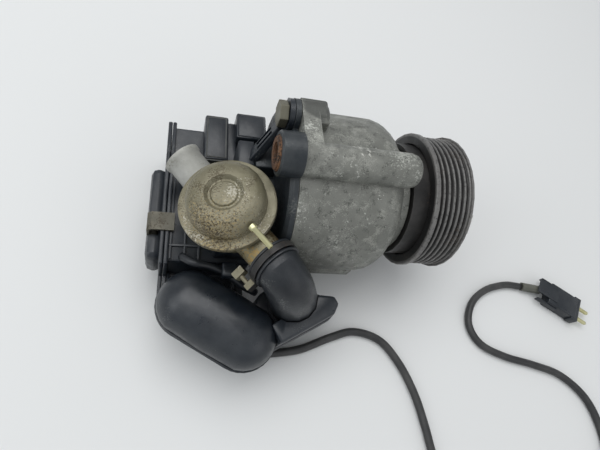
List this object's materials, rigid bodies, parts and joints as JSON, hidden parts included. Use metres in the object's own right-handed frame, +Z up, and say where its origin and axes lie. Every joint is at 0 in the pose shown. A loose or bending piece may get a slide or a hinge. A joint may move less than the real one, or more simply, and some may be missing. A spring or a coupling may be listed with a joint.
{
  "type": "belt-driven air pump",
  "caption": "Belt-driven rotary air pump with a ribbed magnetic-clutch pulley, an intake filter housing, a vacuum shut-off valve, a silencer and a clutch lead with its plug.",
  "frame": {"origin": "middle of the pump casting's foot, on the surface that it stands on", "axes": "+X along the shaft to the pulley, +Y to the back, away from the silencer, +Z up"},
  "size_m": [0.3539, 0.2762, 0.12],
  "materials": {
    "cast_aluminium": "sand-cast, weathered and mottled grey",
    "black_coated_casting": "dull blue-black coating",
    "black_plastic": "moulded, satin, dusty",
    "olive_zinc": "dull olive passivated zinc with corrosion spots",
    "yellow_zinc": "yellow passivated zinc, corroded",
    "oxidised_alloy": "pale, oxidised",
    "bearing_steel": "ground",
    "dark_steel": "dark phosphated steel, worn on the edges",
    "rusty_steel": "rusty",
    "brass": "pale, satin",
    "coil_winding": "varnished winding",
    "rubber": "moulded, matt",
    "filter_paper": "pleated paper",
    "cable_jacket": "satin jacket",
    "grey_sleeve": "woven-look sleeve, matt"
  },
  "bodies": {
    "pump": {"pump_casting": "cast_aluminium", "rear_cover": "black_coated_casting", "mount_bush": "rusty_steel", "cover_bolt_1": "olive_zinc", "cover_bolt_2": "olive_zinc", "cover_bolt_3": "olive_zinc", "vane_shaft": "bearing_steel", "shaft_seal": "rubber", "coil_housing": "dark_steel", "clutch_coil": "coil_winding", "rear_bearing_outer_ring": "bearing_steel", "rear_bearing_balls": "bearing_steel", "front_bearing_outer_ring": "bearing_steel", "front_bearing_balls": "bearing_steel", "pulley_bearing_inner_ring": "bearing_steel", "pulley_bearing_balls": "bearing_steel", "bearing_circlip": "bearing_steel", "filter_housing": "black_plastic", "filter_cover": "black_plastic", "filter_element": "filter_paper", "clip_pin": "bearing_steel", "mounting_arm": "black_plastic", "valve_body": "olive_zinc", "valve_cap": "olive_zinc", "hose_stub": "oxidised_alloy", "outlet_pipe": "yellow_zinc", "vacuum_nipple": "brass", "diaphragm": "rubber", "valve_spring": "bearing_steel", "valve_bracket": "black_plastic", "rubber_elbow": "rubber", "hose_clamp": "olive_zinc", "outlet_duct": "black_plastic", "silencer_top": "black_plastic", "silencer_base": "black_plastic", "coil_lead": "cable_jacket", "cable_grip": "rubber", "power_cable": "cable_jacket", "plug_sleeve": "grey_sleeve", "plug_body": "black_plastic", "plug_pin_a": "brass", "plug_pin_b": "brass"},
    "drive": {"drive_shaft": "bearing_steel", "rotor_drum": "dark_steel", "rear_bearing_inner_ring": "bearing_steel", "front_bearing_inner_ring": "bearing_steel", "clutch_hub": "dark_steel", "hub_nut": "bearing_steel", "armature_spring": "bearing_steel"},
    "vane_a": {"vane_a": "bearing_steel"},
    "vane_b": {"vane_b": "bearing_steel"},
    "pulley": {"pulley": "dark_steel", "pulley_bearing_outer_ring": "bearing_steel"},
    "armature": {"armature_plate": "dark_steel", "armature_rivet_1": "bearing_steel", "armature_rivet_2": "bearing_steel", "armature_rivet_3": "bearing_steel"},
    "clip": {"cover_clip": "bearing_steel"},
    "stem": {"valve_stem": "bearing_steel"}
  },
  "joints": [
    {"name": "pulley_spin", "type": "hinge", "parent": "pump", "child": "pulley", "pos_m": [0.061, 0, 0.058], "axis": [1, 0, 0], "continuous": true},
    {"name": "drive_spin", "type": "hinge", "parent": "pump", "child": "drive", "pos_m": [0, 0, 0.058], "axis": [1, 0, 0], "continuous": true},
    {"name": "vane_a_spin", "type": "hinge", "parent": "pump", "child": "vane_a", "pos_m": [-0.017, 0, 0.0534], "axis": [1, 0, 0], "continuous": true},
    {"name": "vane_b_spin", "type": "hinge", "parent": "pump", "child": "vane_b", "pos_m": [-0.017, 0, 0.0534], "axis": [1, 0, 0], "continuous": true},
    {"name": "armature_travel", "type": "slide", "parent": "drive", "child": "armature", "axis": [-1, 0, 0], "range_m": [0, 0.0005], "stiffness_N_per_m": 8000, "springref_m": -0.0005, "deforming": ["armature_spring"]},
    {"name": "valve_lift", "type": "slide", "parent": "pump", "child": "stem", "axis": [-0.279, 0, 0.9603], "range_m": [0, 0.0035], "stiffness_N_per_m": 600, "springref_m": -0.003, "deforming": ["valve_spring"]},
    {"name": "clip_swing", "type": "hinge", "parent": "pump", "child": "clip", "pos_m": [-0.109, -0.023, 0.036], "axis": [0, -1, 0], "range_deg": [0, 100]}
  ],
  "couplings": [
    {"joint": "vane_a_spin", "follows": "drive_spin", "ratio": 1},
    {"joint": "vane_b_spin", "follows": "drive_spin", "ratio": 1}
  ]
}
